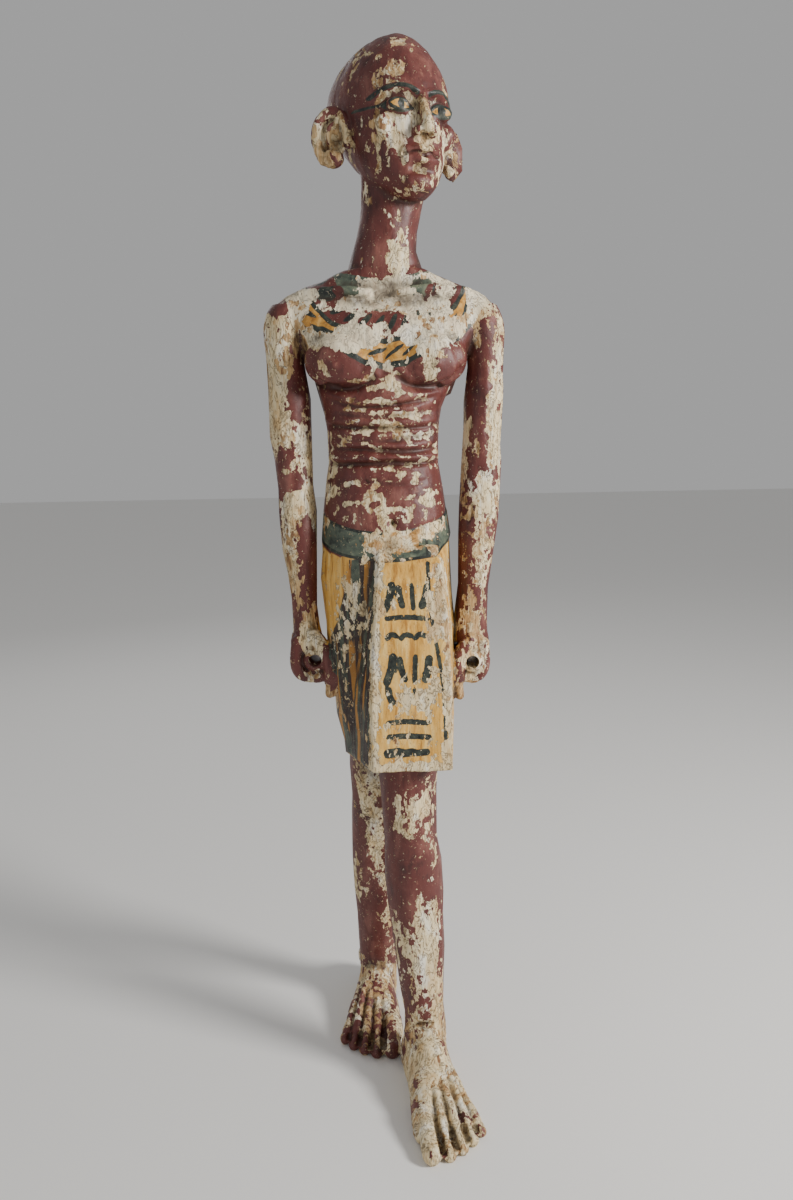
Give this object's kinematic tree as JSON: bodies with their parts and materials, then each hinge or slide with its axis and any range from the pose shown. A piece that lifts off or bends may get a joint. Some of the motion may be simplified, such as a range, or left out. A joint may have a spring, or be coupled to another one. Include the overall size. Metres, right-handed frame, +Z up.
{
  "type": "carved and painted wooden statue of a striding priest",
  "caption": "Egyptian-style wooden statue of a striding priest with a shaven head, low kilt with stiff apron and closed fists, its paint worn down to gesso and wood.",
  "frame": {"origin": "on the ground under the middle of the figure's bounding box", "axes": "+Z up through the crown of the head, the figure faces -Y and its left hand is on +X"},
  "size_m": [0.2258, 0.304, 1.0001],
  "materials": {
    "painted_wood": "red-brown satin paint over cream gesso on carved wood, worn and flaked"
  },
  "bodies": {
    "root": {"statue": "painted_wood"}
  },
  "joints": []
}
